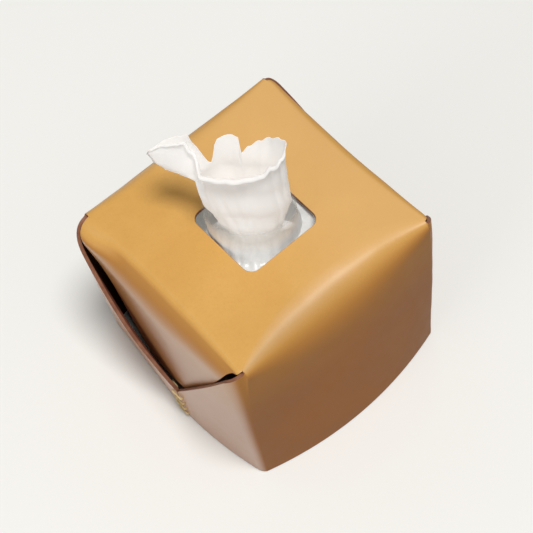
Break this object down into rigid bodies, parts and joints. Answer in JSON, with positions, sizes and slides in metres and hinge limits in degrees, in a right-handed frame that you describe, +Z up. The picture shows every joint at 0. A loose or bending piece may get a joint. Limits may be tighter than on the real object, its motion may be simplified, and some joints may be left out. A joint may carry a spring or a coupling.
{
  "type": "tissue box cover",
  "caption": "Laced leather cover with a square opening, standing over a cube carton of tissues with one tissue pulled up through its slit film.",
  "frame": {"origin": "on the table under the middle of the cover", "axes": "+Z up, front wall towards -Y, laced sides towards -X and +X"},
  "size_m": [0.169, 0.162, 0.1972],
  "materials": {
    "tan_leather": "smooth tan vegetable-tanned leather with a soft sheen, darker red-brown flesh side",
    "waxed_thread": "waxed golden linen thread",
    "carton_board": "plain pale folding boxboard",
    "clear_film": "thin clear film",
    "tissue_paper": "soft white tissue"
  },
  "bodies": {
    "refill": {"carton_walls": "carton_board", "carton_top": "carton_board", "carton_base": "carton_board", "film_window": "clear_film", "tissue_stack": "tissue_paper"},
    "cover": {"leather_cover": "tan_leather", "left_seam_thread": "waxed_thread", "right_seam_thread": "waxed_thread"},
    "left_flap": {"left_flap": "tan_leather"},
    "right_flap": {"right_flap": "tan_leather"},
    "tissue": {"raised_tissue": "tissue_paper"}
  },
  "joints": [
    {"name": "cover_lift", "type": "slide", "parent": "refill", "child": "cover", "axis": [0, 0, 1], "range_m": [0, 0.13], "deforming": ["raised_tissue"]},
    {"name": "left_flap_fold", "type": "hinge", "parent": "cover", "child": "left_flap", "pos_m": [-0.0635, 0, 0.1207], "axis": [0, 1, 0], "range_deg": [-9, 0], "stiffness_Nm_per_rad": 0.05},
    {"name": "right_flap_fold", "type": "hinge", "parent": "cover", "child": "right_flap", "pos_m": [0.0635, 0, 0.1207], "axis": [0, -1, 0], "range_deg": [-9, 0], "stiffness_Nm_per_rad": 0.05},
    {"name": "tissue_pull", "type": "slide", "parent": "refill", "child": "tissue", "axis": [0, 0, 1], "range_m": [0, 0.05]}
  ]
}
